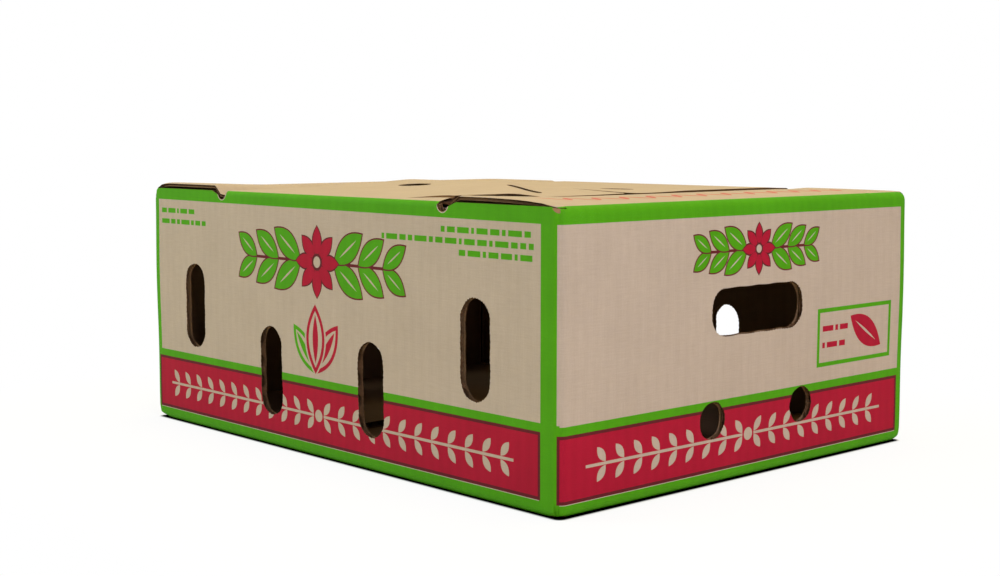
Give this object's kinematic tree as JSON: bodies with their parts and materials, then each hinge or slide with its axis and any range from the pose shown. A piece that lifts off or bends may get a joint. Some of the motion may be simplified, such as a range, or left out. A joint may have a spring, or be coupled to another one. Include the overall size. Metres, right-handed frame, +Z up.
{
  "type": "garlic box",
  "caption": "Low corrugated board produce box with a glued bottom, hand holes, vent slots, tucked top end flaps and hinged top long flaps.",
  "frame": {"origin": "middle of the base, on the surface that the box stands on", "axes": "+X along the box's length towards one end panel, +Z up, the near long panel faces -Y"},
  "size_m": [0.4, 0.31, 0.1645],
  "materials": {
    "kraft_board": "matte kraft liner with flat printed bands"
  },
  "bodies": {
    "box": {"box_body": "kraft_board"},
    "near_flap": {"near_top_flap": "kraft_board"},
    "rear_flap": {"rear_top_flap": "kraft_board"}
  },
  "joints": [
    {"name": "near_flap_fold", "type": "hinge", "parent": "box", "child": "near_flap", "pos_m": [-0.0015, -0.155, 0.16], "axis": [1, 0, 0], "range_deg": [0, 250]},
    {"name": "rear_flap_fold", "type": "hinge", "parent": "box", "child": "rear_flap", "pos_m": [0.0015, 0.155, 0.16], "axis": [-1, 0, 0], "range_deg": [0, 250]}
  ]
}
